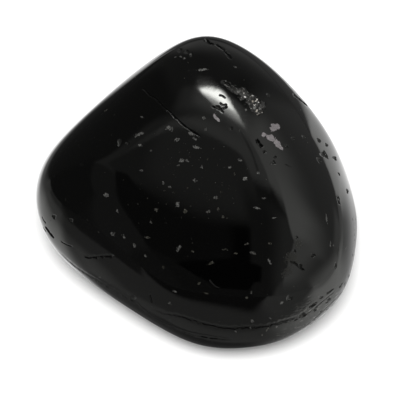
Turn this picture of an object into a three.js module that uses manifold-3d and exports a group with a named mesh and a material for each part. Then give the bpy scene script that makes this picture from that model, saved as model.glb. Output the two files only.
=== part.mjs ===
// A tumbled black tourmaline: one stone, worn nearly flat on many sides, with the pits and
// cracks that polishing did not reach. Millimetres and degrees, +Z up. It stands on its worn
// base, and the origin is in the middle of the base's plane, under the middle of the stone.
import * as THREE from "three";
import { mergeVertices } from "three/addons/utils/BufferGeometryUtils.js";
import Module from "manifold-3d";

// Directions from the heart of the stone: a bearing runs from +X towards +Y, a rise from level.
// Each worn face: the bearing and rise that it faces, and how far it lies from the heart.
const WORN_FACES = {
  crown: [-75, 78, 10.2],
  nearCrown: [-95, 69, 8.6],
  leftCrown: [-134, 64, 11.3],
  rightCrown: [0, 80, 11.1],
  leftSlope: [173, 61, 11.9],
  rightSlope: [18, 53, 12.1],
  nearRightSlope: [-30, 58, 11.6],
  nearLeftBrow: [-127, 30, 11.7],
  nearBrow: [-96, 25, 13.0],
  nearRightBrow: [-64, 28, 14.9],
  rightEnd: [-8, 7, 16.3],
  rightFlank: [11, 18, 14.8],
  apex: [112, 23, 14.9],
  leftShoulder: [139, 27, 13.4],
  leftEnd: [175, 13, 16.3],
  leftUnderside: [-166, -25, 15.4],
  nearLeftUnderside: [-127, -25, 13.5],
  nearUnderside: [-83, -38, 16.2],
  rightUnderside: [-35, -40, 15.7],
  farSide: [78, -2, 13.1],
  farLeftSide: [120, -16, 13.0],
  farRightSide: [50, -11, 12.4],
  farUnderside: [78, -46, 12.6],
  lowerNear: [-84, -63, 12.6],
  lowerLeft: [175, -60, 12.8],
  lowerRight: [-15, -62, 13.3],
  lowerNearRight: [-50, -61, 13.6],
  base: [0, -90, 9.0],
};

// How sharply one worn face turns into the next: higher is crisper.
const EDGE_CRISPNESS = 13.5;

// The flat patch that the stone rests on is this far above the lowest point of its rounding.
const BASE_WEAR = 0.2;

// The fineness of the stone's skin: each edge of an icosahedron is split this many times.
const SKIN_SPLITS = 13;

// Cracks and creases: the way that each one runs, how wide it is, and how deep.
const CREASES = [
  // a healed crack across the left shoulder, on to the crown
  {
    path: [[134.5, 51], [135.5, 57], [135, 63], [136, 70], [136, 78.5], [116, 85]],
    width: 0.3,
    depth: 0.25,
  },
  // a step by the apex
  { path: [[88, 42], [83.5, 43.5], [79.5, 44.5], [75, 45], [69, 45.5]], width: 0.5, depth: 0.3 },
  // a short groove on the edge between the apex and the right flank
  { path: [[39.5, 30], [37, 27.5], [34.5, 24.5], [33, 20.5]], width: 0.5, depth: 0.3 },
  // a nick in the left end
  { path: [[-168, 4], [-165, 3], [-161, 2], [-157.5, 0]], width: 0.6, depth: 0.35 },
  // a drag mark on the near left brow
  { path: [[-145, 0.5], [-141, 3.5], [-136.5, 7.5], [-131.5, 11.5]], width: 0.35, depth: 0.15 },
  // a crack in the near right brow
  { path: [[-52.5, 18.5], [-50.5, 16.5], [-49, 14.5], [-47.5, 11.5]], width: 0.35, depth: 0.2 },
  // the crease under the near brow
  {
    path: [[-111, -5], [-105, -3], [-97, -2.5], [-89, -2.5], [-80, -3.5], [-68, -3.5], [-55, -3]],
    width: 0.45,
    depth: 0.3,
  },
  // the ledge round the near left underside
  {
    path: [[-160, -2.5], [-151.5, -4.5], [-143.5, -3.5], [-135, -2.5], [-127, -2.5], [-118, -3]],
    width: 0.55,
    depth: 0.25,
  },
  {
    path: [[-120, -2.5], [-111.5, -5], [-105, -7.5], [-95.5, -8], [-87, -8], [-77, -8]],
    width: 0.45,
    depth: 0.25,
  },
  // two creases round the far side
  { path: [[64, 8], [72, 5.5], [81, 6], [90, 4], [98, 4.5]], width: 0.45, depth: 0.25 },
  { path: [[112, -6], [120, -9], [127, -8], [135, -11]], width: 0.4, depth: 0.25 },
];

// Pits and chips: the direction of each, its length and width, the turn of its length, and its
// depth. A turn of 0 runs level, and 90 runs uphill.
const PITS = [
  // the torn hollow between the crown and the right slope
  { at: [68.5, 57.5], size: [0.9, 0.5], turn: 20, depth: 0.25 },
  { at: [60, 57], size: [1.1, 0.6], turn: 10, depth: 0.3 },
  { at: [52, 55.5], size: [1.3, 0.9], turn: 0, depth: 0.4 },
  { at: [44, 54.5], size: [1.3, 1.0], turn: 0, depth: 0.4 },
  { at: [36, 54.5], size: [1.4, 1.1], turn: 30, depth: 0.4 },
  { at: [27.5, 55], size: [1.2, 0.8], turn: 60, depth: 0.35 },
  { at: [22, 54], size: [0.8, 0.5], turn: 70, depth: 0.25 },
  // shallow chips on the right slope
  { at: [14, 48], size: [1.2, 0.8], turn: 70, depth: 0.15 },
  { at: [6, 51.5], size: [1.0, 0.5], turn: 40, depth: 0.15 },
  { at: [-2, 45.5], size: [1.0, 0.5], turn: -40, depth: 0.15 },
  { at: [6.5, 40], size: [0.6, 0.5], turn: 0, depth: 0.2 },
  { at: [10, 33.5], size: [0.6, 0.4], turn: 45, depth: 0.2 },
  { at: [-0.5, 43], size: [0.5, 0.4], turn: 20, depth: 0.2 },
  { at: [-10.5, 47], size: [0.5, 0.4], turn: 80, depth: 0.2 },
  // pits down the right flank
  { at: [11, 25], size: [0.8, 0.6], turn: 60, depth: 0.25 },
  { at: [10, 20.5], size: [0.7, 0.5], turn: 20, depth: 0.25 },
  { at: [3.5, 23.5], size: [1.2, 0.7], turn: 80, depth: 0.3 },
  { at: [4, 17], size: [0.9, 0.5], turn: 40, depth: 0.3 },
  { at: [8.5, 4.5], size: [1.4, 0.7], turn: 70, depth: 0.3 },
  { at: [-2, 16], size: [0.8, 0.5], turn: 0, depth: 0.25 },
  { at: [-6.5, 10], size: [0.8, 0.6], turn: 90, depth: 0.25 },
  { at: [-15.5, 16.5], size: [0.7, 0.5], turn: 30, depth: 0.25 },
  { at: [-1.5, -9.5], size: [1.2, 0.7], turn: 50, depth: 0.3 },
  { at: [-6.5, -12], size: [1.0, 0.6], turn: 10, depth: 0.3 },
  // rough pits that carry the near crease round to the right
  { at: [-54, -2], size: [1.1, 0.6], turn: 10, depth: 0.3 },
  { at: [-48.5, 0], size: [1.0, 0.7], turn: 30, depth: 0.3 },
  { at: [-43, 0.5], size: [1.2, 0.6], turn: 10, depth: 0.3 },
  { at: [-37.5, -1.5], size: [1.1, 0.7], turn: -20, depth: 0.3 },
  { at: [-29, -5], size: [1.3, 0.7], turn: -30, depth: 0.3 },
  // single pits on the near side
  { at: [-42, 14.5], size: [0.7, 0.5], turn: 0, depth: 0.2 },
  { at: [-57, 5], size: [0.6, 0.4], turn: 0, depth: 0.2 },
  { at: [-162.5, 8.5], size: [0.8, 0.5], turn: 45, depth: 0.25 },
  { at: [-156.5, 12.5], size: [0.6, 0.5], turn: 0, depth: 0.2 },
  { at: [-117.5, -2.5], size: [1.1, 0.6], turn: 20, depth: 0.25 },
  { at: [179.5, 48], size: [0.8, 0.6], turn: 60, depth: 0.2 },
  // pits round the far side and underneath
  { at: [52, 2], size: [1.0, 0.6], turn: 20, depth: 0.3 },
  { at: [60, -12], size: [1.2, 0.8], turn: 0, depth: 0.3 },
  { at: [86, 18], size: [0.8, 0.6], turn: 50, depth: 0.25 },
  { at: [108, 12], size: [1.0, 0.6], turn: -20, depth: 0.25 },
  { at: [126, 14], size: [0.8, 0.5], turn: 30, depth: 0.25 },
  { at: [148, -2], size: [1.1, 0.7], turn: 0, depth: 0.3 },
  { at: [163, -16], size: [0.9, 0.7], turn: 60, depth: 0.3 },
  { at: [-148, -40], size: [1.1, 0.7], turn: 10, depth: 0.3 },
  { at: [-70, -34], size: [1.0, 0.7], turn: 0, depth: 0.3 },
];

// A pit's cutter stands this share of its depth above the skin, which leaves a crisp rim.
const PIT_LIFT = 0.3;

// How far a pit's outline wanders from an oval, and how many waves it has.
const PIT_UNEVENNESS = 0.16;
const PIT_WAVES = 3;

// A crease's cutter is a rod with this many sides, and a section about every so far along it.
const CREASE_SIDES = 5;
const CREASE_STEP = 1.3;

const wasm = await Module();
wasm.setup();

function directionOf(bearing, rise) {
  const theta = THREE.MathUtils.degToRad(bearing);
  const phi = THREE.MathUtils.degToRad(rise);
  const level = Math.cos(phi);
  return new THREE.Vector3(level * Math.cos(theta), level * Math.sin(theta), Math.sin(phi));
}

const faces = Object.values(WORN_FACES).map(([bearing, rise, distance]) => {
  return { normal: directionOf(bearing, rise), distance };
});

// How near a direction comes to meeting a worn face: 0 for a face that looks the other way.
function pull(face, direction) {
  return Math.max(0, face.normal.dot(direction)) / face.distance;
}

// The distance from the heart to the skin. The nearest worn face counts most, and faces that
// are about as near share, which rounds the edge between them.
function reachAlong(direction) {
  const total = faces.reduce((sum, face) => sum + pull(face, direction) ** EDGE_CRISPNESS, 0);
  return total ** (-1 / EDGE_CRISPNESS);
}

// The way that the skin faces, where a direction from the heart meets it.
function skinNormal(direction) {
  const normal = new THREE.Vector3();
  for (const face of faces) {
    const share = pull(face, direction) ** (EDGE_CRISPNESS - 1) / face.distance;
    normal.addScaledVector(face.normal, share);
  }
  return normal.normalize();
}

// A point at a height over the skin, or under it where the height is negative.
function pointOverSkin([bearing, rise], height) {
  const direction = directionOf(bearing, rise);
  const point = direction.clone().multiplyScalar(reachAlong(direction));
  return point.addScaledVector(skinNormal(direction), height);
}

function toSolid(geometry) {
  const bare = new THREE.BufferGeometry();
  bare.setAttribute("position", geometry.getAttribute("position"));
  if (geometry.index) bare.setIndex(geometry.index);
  const merged = mergeVertices(bare, 1e-4);
  const mesh = new wasm.Mesh({
    numProp: 3,
    vertProperties: merged.getAttribute("position").array,
    triVerts: new Uint32Array(merged.index.array),
  });
  return new wasm.Manifold(mesh);
}

function toGeometry(solid) {
  const mesh = solid.getMesh();
  const geometry = new THREE.BufferGeometry();
  geometry.setAttribute("position", new THREE.BufferAttribute(mesh.vertProperties, 3));
  geometry.setIndex(new THREE.BufferAttribute(mesh.triVerts, 1));
  return geometry;
}

// The stone before it was chipped: a ball whose points are drawn in or out to the skin.
function roundedBody() {
  const ball = new THREE.IcosahedronGeometry(1, SKIN_SPLITS);
  const position = ball.getAttribute("position");
  const point = new THREE.Vector3();
  for (let i = 0; i < position.count; i += 1) {
    point.fromBufferAttribute(position, i).normalize();
    point.multiplyScalar(reachAlong(point));
    position.setXYZ(i, point.x, point.y, point.z);
  }
  return toSolid(ball);
}

// Everything below the flat patch on the base.
function belowBase() {
  const thickness = 4;
  const slab = new THREE.BoxGeometry(40, 40, thickness);
  slab.translate(0, 0, -WORN_FACES.base[2] + BASE_WEAR - thickness / 2);
  return toSolid(slab);
}

// An uneven lump that takes one pit out of the skin.
function pitCutter({ at, size, turn, depth }, number) {
  const lump = new THREE.IcosahedronGeometry(1, 1);
  const position = lump.getAttribute("position");
  for (let i = 0; i < position.count; i += 1) {
    const angle = Math.atan2(position.getY(i), position.getX(i));
    const swell = 1 + PIT_UNEVENNESS * Math.sin(PIT_WAVES * angle + number);
    position.setX(i, position.getX(i) * swell);
    position.setY(i, position.getY(i) * swell);
  }
  lump.scale(size[0] / 2, size[1] / 2, depth * (1 + PIT_LIFT));
  lump.applyMatrix4(skinFrame(at, turn, depth * PIT_LIFT));
  return toSolid(lump);
}

// A frame on the skin: X along the turn from level, Y across it, Z out of the stone.
function skinFrame(at, turn, height) {
  const out = skinNormal(directionOf(...at));
  const level = new THREE.Vector3(0, 0, 1).cross(out).normalize();
  const uphill = out.clone().cross(level);
  const frame = new THREE.Matrix4().makeBasis(level, uphill, out);
  frame.setPosition(pointOverSkin(at, height));
  return frame.multiply(new THREE.Matrix4().makeRotationZ(THREE.MathUtils.degToRad(turn)));
}

// A thin rod that follows a crease and leaves the skin at both ends.
function creaseCutter({ path, width, depth }) {
  const radius = width / 2;
  const points = path.map((at, i) => {
    const isEnd = i === 0 || i === path.length - 1;
    return pointOverSkin(at, isEnd ? radius * 1.2 : radius - depth);
  });
  const route = new THREE.CatmullRomCurve3(points);
  const steps = Math.ceil(route.getLength() / CREASE_STEP);
  const section = new THREE.Shape();
  section.absarc(0, 0, radius, 0, Math.PI * 2);
  const rod = new THREE.ExtrudeGeometry(section, {
    extrudePath: route,
    steps,
    curveSegments: CREASE_SIDES,
    bevelEnabled: false,
  });
  return toSolid(rod);
}

function chippedStone() {
  const cutters = [belowBase(), ...PITS.map(pitCutter), ...CREASES.map(creaseCutter)];
  return cutters.reduce((stone, cutter) => stone.subtract(cutter), roundedBody());
}

// The middle of the stone's box stands over the origin, and its base lies in the plane z = 0.
function standOnOrigin(geometry) {
  geometry.computeBoundingBox();
  const { min, max } = geometry.boundingBox;
  geometry.translate(-(min.x + max.x) / 2, -(min.y + max.y) / 2, -min.z);
  return geometry;
}

const polishedTourmaline = new THREE.MeshStandardMaterial({
  color: 0x0c0c0d,
  roughness: 0.12,
  metalness: 0,
});

const stoneGeometry = standOnOrigin(toGeometry(chippedStone()));
stoneGeometry.computeVertexNormals();
const stone = new THREE.Mesh(stoneGeometry, polishedTourmaline);
stone.name = "stone";

const tourmaline = new THREE.Group();
tourmaline.add(stone);

export default tourmaline;
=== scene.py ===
import math

import bpy
import numpy as np
from mathutils import Matrix, Vector, kdtree, noise


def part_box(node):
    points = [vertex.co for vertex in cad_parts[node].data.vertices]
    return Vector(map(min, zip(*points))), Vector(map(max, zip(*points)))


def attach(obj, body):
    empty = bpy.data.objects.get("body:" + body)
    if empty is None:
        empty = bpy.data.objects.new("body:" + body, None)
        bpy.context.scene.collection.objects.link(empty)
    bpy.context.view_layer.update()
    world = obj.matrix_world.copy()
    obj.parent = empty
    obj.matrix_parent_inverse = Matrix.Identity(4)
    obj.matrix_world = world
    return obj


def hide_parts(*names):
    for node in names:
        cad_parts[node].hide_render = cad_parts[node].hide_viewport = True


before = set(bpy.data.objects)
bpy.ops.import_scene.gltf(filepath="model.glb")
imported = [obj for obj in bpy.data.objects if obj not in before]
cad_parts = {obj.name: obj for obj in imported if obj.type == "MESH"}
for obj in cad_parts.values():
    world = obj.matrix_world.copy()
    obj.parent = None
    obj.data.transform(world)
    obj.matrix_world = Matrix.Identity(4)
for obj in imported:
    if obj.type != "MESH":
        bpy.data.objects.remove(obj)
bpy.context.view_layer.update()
mm = 0.001

# Directions run from the heart of the stone: a bearing from +X towards +Y, and a rise from level.
# Angles are in degrees and sizes in millimetres, until a function turns them into metres.

stoneBody = {
    "crispness": 13.5,  # how sharply one worn face turns into the next
    "baseWear": 0.2,  # taken off the underside, where it rests
    "sweep": 1.5,  # degrees between the directions that measure the stone
    "blockCuts": 63,  # cuts across each side of the starting block
    "wornFaces": {  # bearing, rise, distance from the heart
        "crown": (-75, 78, 10.2),
        "nearCrown": (-95, 69, 8.6),
        "leftCrown": (-134, 64, 11.3),
        "rightCrown": (0, 80, 11.1),
        "leftSlope": (173, 61, 11.9),
        "rightSlope": (18, 53, 12.1),
        "nearRightSlope": (-30, 58, 11.6),
        "nearLeftBrow": (-127, 30, 11.7),
        "nearBrow": (-96, 25, 13.0),
        "nearRightBrow": (-64, 28, 14.9),
        "rightEnd": (-8, 7, 16.3),
        "rightFlank": (11, 18, 14.8),
        "apex": (112, 23, 14.9),
        "leftShoulder": (139, 27, 13.4),
        "leftEnd": (175, 13, 16.3),
        "leftUnderside": (-166, -25, 15.4),
        "nearLeftUnderside": (-127, -25, 13.5),
        "nearUnderside": (-83, -38, 16.2),
        "rightUnderside": (-35, -40, 15.7),
        "farSide": (78, -2, 13.1),
        "farLeftSide": (120, -16, 13.0),
        "farRightSide": (50, -11, 12.4),
        "farUnderside": (78, -46, 12.6),
        "lowerNear": (-84, -63, 12.6),
        "lowerLeft": (175, -60, 12.8),
        "lowerRight": (-15, -62, 13.3),
        "lowerNearRight": (-50, -61, 13.6),
        "base": (0, -90, 9.0),
    },
}

faceTable = np.array(list(stoneBody["wornFaces"].values()), float)


def directionOf(bearing, rise):
    bearing, rise = np.radians(bearing), np.radians(rise)
    level = np.cos(rise)
    return np.stack([level * np.cos(bearing), level * np.sin(bearing), np.sin(rise)], -1)


faceNormals = directionOf(faceTable[:, 0], faceTable[:, 1])
faceDistances = faceTable[:, 2] * mm


def facePull(directions):  # how much each worn face counts there
    return np.maximum(0, directions @ faceNormals.T) / faceDistances


def skinReach(directions):  # from the heart to the skin
    return (facePull(directions) ** stoneBody["crispness"]).sum(-1) ** (-1 / stoneBody["crispness"])


def skinFacing(directions):  # the way that the skin faces there
    facing = (facePull(directions) ** (stoneBody["crispness"] - 1) / faceDistances) @ faceNormals
    return facing / np.linalg.norm(facing, axis=-1, keepdims=True)


def findHeart():  # the CAD stone's box gives the place, so the two stones are one
    low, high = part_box("stone")
    sweep = stoneBody["sweep"]
    around = directionOf(*np.meshgrid(np.arange(-180, 180, sweep), np.arange(sweep - 90, 90, sweep)))
    points = (around * skinReach(around)[..., None]).reshape(-1, 3)
    middle = (points.min(0) + points.max(0)) / 2
    baseDrop = (stoneBody["wornFaces"]["base"][2] - stoneBody["baseWear"]) * mm
    return np.array([(low.x + high.x) / 2 - middle[0], (low.y + high.y) / 2 - middle[1], low.z + baseDrop])


heart = findHeart()
print("heart of the stone", np.round(heart * 1000, 3), "mm")


def skinPoint(bearing, rise):
    direction = directionOf(bearing, rise)
    return heart + direction * skinReach(direction)[..., None]


def skinAxes(bearing, rise, turn):  # along, across and out, on the skin: turn 0 is level, 90 uphill
    out = skinFacing(directionOf(bearing, rise))
    level = np.cross([0, 0, 1], out)
    level = level / np.linalg.norm(level)
    uphill = np.cross(out, level)
    swing = math.radians(turn)
    along = level * math.cos(swing) + uphill * math.sin(swing)
    across = uphill * math.cos(swing) - level * math.sin(swing)
    return along, across, out


def meshPoints(stone):
    points = np.empty(len(stone.data.vertices) * 3)
    stone.data.vertices.foreach_get("co", points)
    return points.reshape(-1, 3)


def setPoints(stone, points):
    stone.data.vertices.foreach_set("co", points.ravel())
    stone.data.update()


def faceMiddles(mesh):
    middles = np.empty(len(mesh.polygons) * 3)
    mesh.polygons.foreach_get("center", middles)
    return middles.reshape(-1, 3)


def treeOf(points):
    tree = kdtree.KDTree(len(points))
    for i, point in enumerate(points):
        tree.insert(point, i)
    tree.balance()
    return tree


def nearTo(points, centre, reach):  # the numbers of the points within reach of the centre
    return np.flatnonzero(((points - centre) ** 2).sum(1) < reach ** 2)


def noiseAt(points, size, seed):  # soft noise from -1 to 1, with lumps of about this size in mm
    scale = 1 / (size * mm)
    shift = Vector((seed, seed * 0.7, -seed * 1.3))
    return np.array([noise.noise(Vector(p) * scale + shift) for p in points])


# The tumbled body starts as a block the size of the CAD stone.

def startBlock():
    low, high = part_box("stone")
    bpy.ops.object.select_all(action="DESELECT")
    bpy.ops.mesh.primitive_cube_add(size=1, location=(low + high) / 2, scale=high - low)
    stone = bpy.context.active_object
    stone.name = "tumbledTourmaline"
    bpy.ops.object.transform_apply(location=True, rotation=True, scale=True)
    bpy.ops.object.mode_set(mode="EDIT")
    bpy.ops.mesh.select_all(action="SELECT")
    bpy.ops.mesh.subdivide(number_cuts=stoneBody["blockCuts"])
    bpy.ops.object.mode_set(mode="OBJECT")
    return stone


def tumbleBlock(stone):  # the even grid of the block is spread round the heart, then drawn to the skin
    low, high = (np.array(corner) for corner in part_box("stone"))
    onBlock = (meshPoints(stone) - (low + high) / 2) / ((high - low) / 2)
    drawToSkin(stone, np.tan(onBlock * math.pi / 4))


def drawToSkin(stone, fromHeart):
    directions = fromHeart / np.linalg.norm(fromHeart, axis=1, keepdims=True)
    setPoints(stone, heart + directions * skinReach(directions)[:, None])
    return directions


# Cracks, creases, pits and chips: the stone's damage.

cracks = {  # width, depth, how ragged, rounds of finer cuts, and where it runs
    "shoulderCrack": (0.16, 0.13, 1.0, 3, [
        (134.5, 51.5), (134.5, 54.5), (135.5, 57), (134.5, 59.5), (135.5, 63.5), (135.5, 68), (135.5, 72.5),
        (136, 77.5), (130, 83), (100, 87), (30, 88),
    ]),
    "apexStep": (0.46, 0.19, 1.0, 3, [
        (87, 42.5), (83.5, 44), (79.5, 44), (76, 44.5), (72.5, 45.5), (70, 46),
    ]),
    "hollowEdge": (0.22, 0.16, 0.4, 3, [(68, 58), (64.5, 57.5), (61, 57.5), (59, 57.5)]),
    "hollowFold": (0.22, 0.14, 0.4, 3, [(57, 57), (53, 56.5), (49.5, 56), (46.5, 56.5)]),
    "slopeCrack": (0.34, 0.2, 0.5, 3, [(2, 57.5), (-2.5, 56), (-6, 54)]),
    "slopeHairline": (0.12, 0.05, 0.4, 3, [(-13.5, 42), (-13.5, 40), (-13, 38.5)]),
    "edgeGroove": (0.45, 0.22, 0.4, 3, [(38, 28.5), (36, 26.5), (34, 24.5), (32.5, 21.5)]),
    "flankSplit": (0.5, 0.25, 0.6, 3, [(11, 6.5), (9.5, 5), (8, 3.5), (7, 2.5)]),
    "flankStreak": (0.3, 0.14, 0.6, 3, [(-14, 17), (-15.5, 16.5), (-17, 15.5)]),
    "browCrack": (0.2, 0.16, 0.6, 3, [(-51.5, 17), (-50, 16), (-49, 14), (-48, 12)]),
    "dragMark": (0.36, 0.06, 0.9, 3, [(-144, 2), (-141, 4.5), (-137, 7.5), (-132, 11)]),
    "faintMark": (0.16, 0.05, 0.5, 3, [(-155.5, 1.5), (-153, 2), (-150.5, 3)]),
    "leftNick": (0.36, 0.22, 0.7, 3, [(-164, 1), (-162, 1), (-160, 0.5), (-158.5, 0.5)]),
    "leftNickSide": (0.24, 0.12, 0.7, 3, [(-166, -1.5), (-164.5, -1.5), (-163, -1)]),
    "shortCrack": (0.18, 0.14, 0.4, 3, [(-110.5, 3), (-110, 1.5), (-109, -0.5)]),
    "nearCrease": (0.44, 0.024, 1.2, 3, [
        (-110, -4), (-106, -3), (-103, -3), (-97, -2), (-92, -2.5), (-87, -3.5), (-81.5, -4), (-76.5, -4),
        (-72, -3.5), (-67.5, -3.5), (-63.5, -3), (-60, -2.5), (-56.5, -2.5), (-54, -2.5),
    ]),
    "ledge": (0.6, 0.07, 0.7, 3, [
        (-156, -5), (-151.5, -6), (-146, -6.5), (-138.5, -6), (-131.5, -5.5), (-125, -5), (-121, -4.5),
        (-117, -4.5), (-111.5, -7), (-106, -8.5), (-100, -8.5), (-93, -9), (-85.5, -9), (-78, -9),
    ]),
    "lampCrack": (0.22, 0.1, 0.8, 3, [(67.5, 70.5), (58, 70), (52, 68.5), (49, 66)]),
    "lampNick": (0.16, 0.05, 0.9, 3, [(65.5, 64), (62, 63.5), (57.5, 63.5)]),
    "lampNickLow": (0.2, 0.06, 0.9, 3, [(60, 67), (55, 67), (51, 65.5)]),
    "browLine": (0.1, 0.05, 0.4, 3, [(-51.5, 16.5), (-50, 15), (-48.5, 13.5), (-48, 12)]),
    "rimCreaseHigh": (0.2, 0.03, 1.4, 3, [(-55, -3.5), (-50.5, -2), (-45.5, -0.5), (-41, 0)]),
    "rimCreaseMiddle": (0.2, 0.05, 1.0, 3, [(-55, -8.5), (-48.5, -5.5), (-43.5, -4), (-37.5, -4)]),
    "rimCreaseLow": (0.26, 0.06, 1.0, 3, [(-50, -10), (-44, -8), (-38, -7), (-31, -6)]),
    "cornerCrack": (0.2, 0.08, 0.8, 3, [(-167, 3.5), (-165.5, 3), (-164, 3)]),
    "browEdgeNick": (0.45, 0.16, 1.0, 3, [(139, 23.5), (136.5, 24.5), (134, 26), (131.5, 27)]),
    "leftEdgeNick": (0.36, 0.14, 1.0, 3, [(153, 15.5), (151, 17), (149.5, 18)]),
    "hairArc": (0.12, 0.05, 0.2, 3, [(-85, 15.5), (-84, 14), (-82.5, 12.5), (-81, 12)]),
    "hairHook": (0.12, 0.04, 0.2, 3, [(-86, 21), (-84.5, 22), (-83, 22.5), (-82, 21.5)]),
    "farCrease": (0.32, 0.2, 0.7, 2, [(64, 8), (72, 5.5), (81, 6), (90, 4), (98, 4.5)]),
    "farLowCrease": (0.3, 0.2, 0.7, 2, [(112, -6), (120, -9), (127, -8), (135, -11)]),
}

crackCut = {
    "step": 0.06,  # mm between the points of a crack's line
    "reach": 3,  # how far from the line a crack is felt, in half widths
    "opening": 3,  # how soon it opens from its ends
    "endWidth": 0.25,  # share of the width that is left at the ends
    "wander": (0.8, 0.35),  # how much a ragged crack's width changes, and over how many mm
    "splinter": (0.3, 0.12, 20),  # the same for its fine splinters, and their first seed
}

pits = {  # bearing, rise, length, width, turn, depth
    "crownPit": (19, 70, 0.3, 0.3, 0, 0.1),
    "slopeDimple": (39.5, 44, 0.4, 0.4, 0, 0.12),
    "slopePitHigh": (-9.5, 52.5, 0.3, 0.3, 0, 0.1),
    "slopePitMid": (-11, 47, 0.3, 0.24, -40, 0.1),
    "slopeScoop": (-16, 47, 0.6, 0.4, -20, 0.08),
    "slopePitLow": (-0.5, 43, 0.44, 0.36, -65, 0.14),
    "slopePitEdge": (6.5, 39.5, 0.5, 0.44, -70, 0.16),
    "slopePitRim": (10, 33.5, 0.42, 0.36, -75, 0.12),
    "flankRing": (11, 25, 0.6, 0.5, -70, 0.14),
    "flankPitHigh": (10.5, 20.5, 0.6, 0.4, -55, 0.14),
    "flankCluster": (3.5, 23.5, 1.0, 0.8, -85, 0.2),
    "flankClusterLow": (-1.5, 27, 0.6, 0.55, 0, 0.18),
    "flankClusterSide": (5.5, 16.5, 1.1, 0.5, -65, 0.14),
    "flankSpot": (-2, 15.5, 0.5, 0.36, -60, 0.14),
    "flankGouge": (-5.5, 8.5, 1.1, 0.5, -55, 0.2),
    "rightRimPit": (-1.5, -9.5, 0.9, 0.5, 50, 0.2),
    "rightRimPitLow": (-6.5, -12, 0.8, 0.5, 10, 0.2),
    "browSpeck": (-43, 22, 0.22, 0.2, 0, 0.08),
    "browSpot": (-47.5, 19, 0.32, 0.3, 0, 0.1),
    "browNotch": (-48.5, 14, 0.34, 0.42, -25, 0.18),
    "browPit": (-42, 14.5, 0.44, 0.4, -35, 0.16),
    "browSlit": (-37, 7, 0.25, 0.6, -40, 0.1),
    "browHollow": (-56.5, 5, 0.5, 0.5, 0, 0.14),
    "creasePitA": (-54, -2.5, 0.8, 0.5, 0, 0.18),
    "creasePitB": (-50, -0.5, 1.1, 0.28, 12, 0.18),
    "creasePitC": (-46.5, 1, 0.5, 0.3, -30, 0.06),
    "creasePitD": (-43, 1, 1.0, 0.22, 0, 0.13),
    "creasePitE": (-38.5, -0.5, 0.36, 0.26, -15, 0.12),
    "creasePitF": (-49.5, -2.5, 0.36, 0.34, 0, 0.1),
    "creasePitG": (-44, -1.5, 0.4, 0.36, 0, 0.1),
    "creasePitH": (-32, -3.5, 0.6, 0.2, -20, 0.1),
    "leftDot": (-162.5, 8.5, 0.46, 0.4, 35, 0.14),
    "leftDotInner": (-156.5, 12.5, 0.42, 0.38, 35, 0.12),
    "shoulderDent": (-173, 31, 0.5, 0.4, 50, 0.035),
    "leftSlopeDent": (179.5, 48, 0.9, 0.4, -50, 0.07),
    "leftSlopeDentSmall": (-179.5, 51.5, 0.4, 0.3, 0, 0.05),
    "ledgeChip": (-118, -3, 1.0, 0.5, 50, 0.16),
    "apexDotA": (100.5, 47.5, 0.4, 0.4, 0, 0.12),
    "apexDotB": (97, 49, 0.4, 0.36, -35, 0.12),
    "apexDotC": (94.5, 50.5, 0.3, 0.3, 0, 0.1),
    "crownTear": (56, 69.5, 1.0, 0.26, -60, 0.12),
    "farPitA": (52, 2, 1.0, 0.6, 20, 0.25),
    "farPitB": (60, -12, 1.2, 0.8, 0, 0.25),
    "farPitC": (86, 18, 0.8, 0.6, 50, 0.2),
    "farPitD": (108, 12, 1.0, 0.6, -20, 0.2),
    "farPitE": (126, 14, 0.8, 0.5, 30, 0.2),
    "backPitA": (148, -2, 1.1, 0.7, 0, 0.25),
    "backPitB": (163, -16, 0.9, 0.7, 60, 0.25),
    "underPitA": (-148, -40, 1.1, 0.7, 10, 0.25),
    "underPitB": (-70, -34, 1.0, 0.7, 0, 0.25),
}

pitCut = {
    "lobes": ((0.16, 3, 1), (0.08, 5, 2)),  # how far the rim swings, how many times, and its start
    "rim": (0.22, 0.2),  # how ragged the rim is, and over how many mm
    "rubble": (0.4, 0.12, 40),  # how rough the floor is, over how many mm, and the first seed
    "dull": (1.15, 3),  # where the dull rim ends, and how sharply
    "dullDepth": 0.12,  # a pit this deep is quite dull
}

tornHollow = {  # the rough place between the crown and the right slope
    "path": [(68, 58), (62, 58), (56, 57.5), (50.5, 56), (45.5, 55), (40.5, 54), (35.5, 53.5), (31, 54)],
    "width": [0.4, 0.6, 0.8, 1.0, 1.2, 1.5, 1.7, 1.2],
    "depth": 0.28,
    "reach": 5,  # how far from its middle it is felt
    "wander": ((0.5, 0.5, 3.1), (0.3, 0.2, 7.7)),  # how ragged the rim is, over how many mm, and a seed
    "grain": 0.32,  # size of one broken crystal
    "tilt": 1.2,  # how far a crystal's face leans
    "stagger": 0.5,  # how far one crystal stands off the next
    "seeds": (53.0, 31.0),  # of the leaning and of the staggering
    "shallow": (0.35, 0.3),  # share of the depth, and of the crystals' relief, at its shallow end
    "dull": (1.3, 0.15),  # how quickly it gets dull towards the deep end, and the least dullness
    "edges": (3, 4, 5),  # how sharply the floor, the crystals and the dullness begin at the rim
}

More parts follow.
